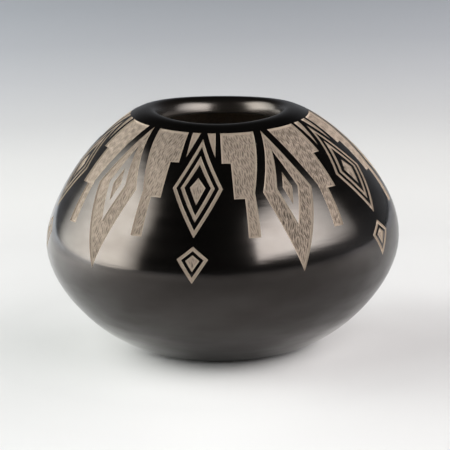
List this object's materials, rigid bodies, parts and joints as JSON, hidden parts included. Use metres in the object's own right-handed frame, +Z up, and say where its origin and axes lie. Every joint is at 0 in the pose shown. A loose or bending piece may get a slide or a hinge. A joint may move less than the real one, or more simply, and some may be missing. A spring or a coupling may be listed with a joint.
{
  "type": "pottery bowl",
  "caption": "Squat round hand-coiled bowl with a small incurved mouth and a rounded lip, polished black slip and an etched shoulder band; holds small things.",
  "frame": {"origin": "centre of the flat foot, on the surface that the bowl stands on", "axes": "+Z up along the bowl's axis; -Y is the side that the picture shows; +X to its right"},
  "size_m": [0.127, 0.127, 0.0866],
  "materials": {
    "fired_clay": "low-fired, unglazed clay: matte tan where the slip is etched away, smoked dark inside",
    "polished_slip": "black slip, stone-polished to a soft mirror shine, with faint burnishing streaks"
  },
  "bodies": {
    "root": {"base_pan": "fired_clay", "wall_coil_1": "fired_clay", "wall_coil_2": "fired_clay", "wall_coil_3": "fired_clay", "wall_coil_4": "fired_clay", "wall_coil_5": "fired_clay", "wall_coil_6": "fired_clay", "wall_coil_7": "fired_clay", "wall_coil_8": "fired_clay", "rim_coil": "fired_clay", "slip_coat": "polished_slip"}
  },
  "joints": []
}
